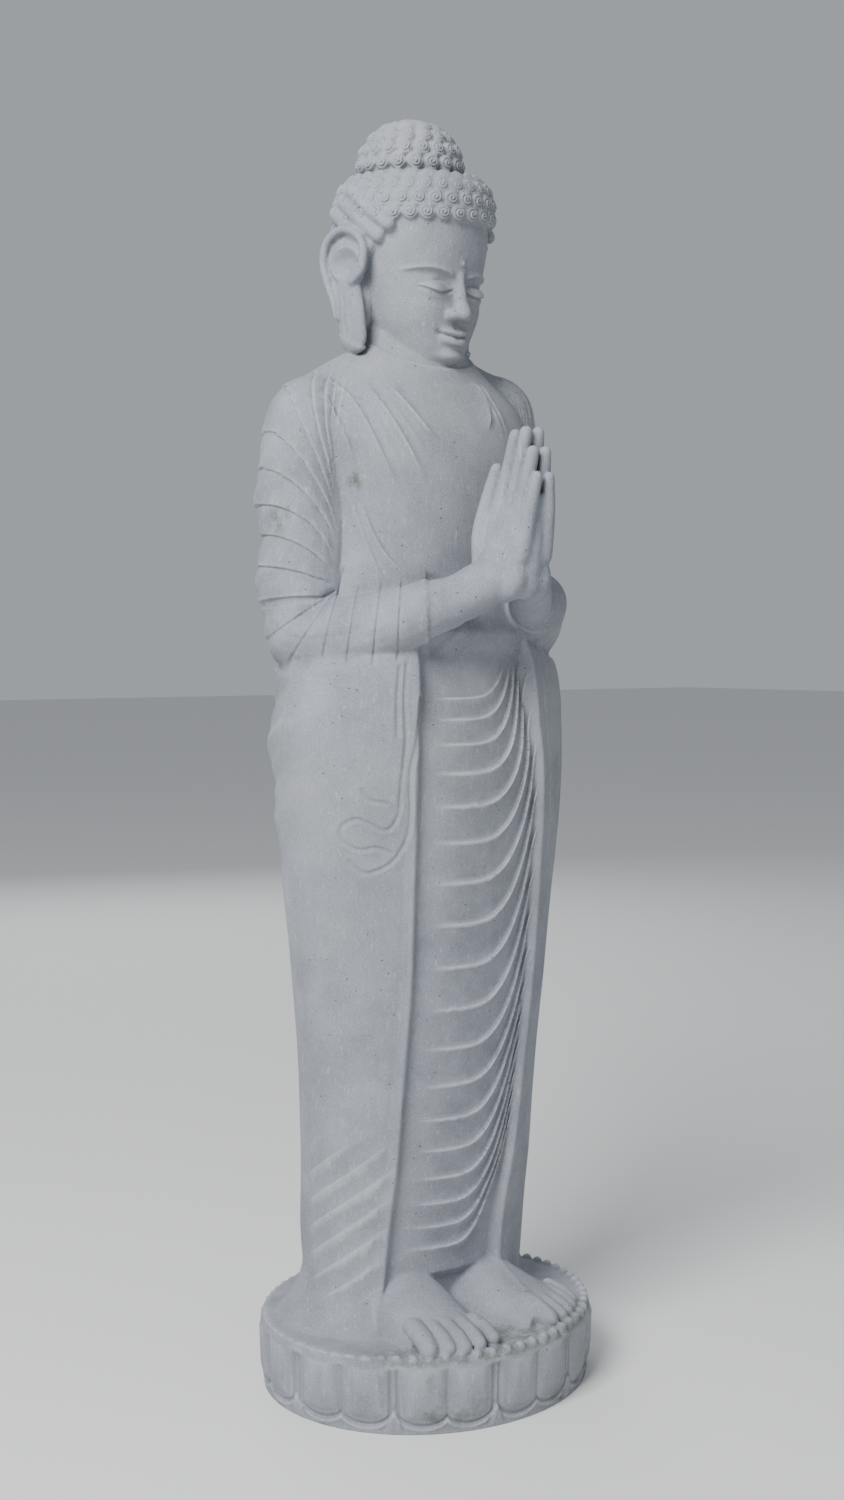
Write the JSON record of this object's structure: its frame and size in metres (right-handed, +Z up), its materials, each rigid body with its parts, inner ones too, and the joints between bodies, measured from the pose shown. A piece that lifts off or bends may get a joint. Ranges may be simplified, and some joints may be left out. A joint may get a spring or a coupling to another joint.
{
  "type": "standing stone buddha statue",
  "caption": "Standing figure in a long robe, palms pressed together, carved in one piece with a low round lotus plinth.",
  "frame": {"origin": "centre of the plinth's oval underside, on the ground", "axes": "+Z up through the figure; the figure faces -Y and its left side is +X"},
  "size_m": [0.4884, 0.4863, 1.7489],
  "materials": {
    "grey_stone": "tooled and weathered, matt, fine dark pits"
  },
  "bodies": {
    "root": {"standing_buddha": "grey_stone"}
  },
  "joints": []
}
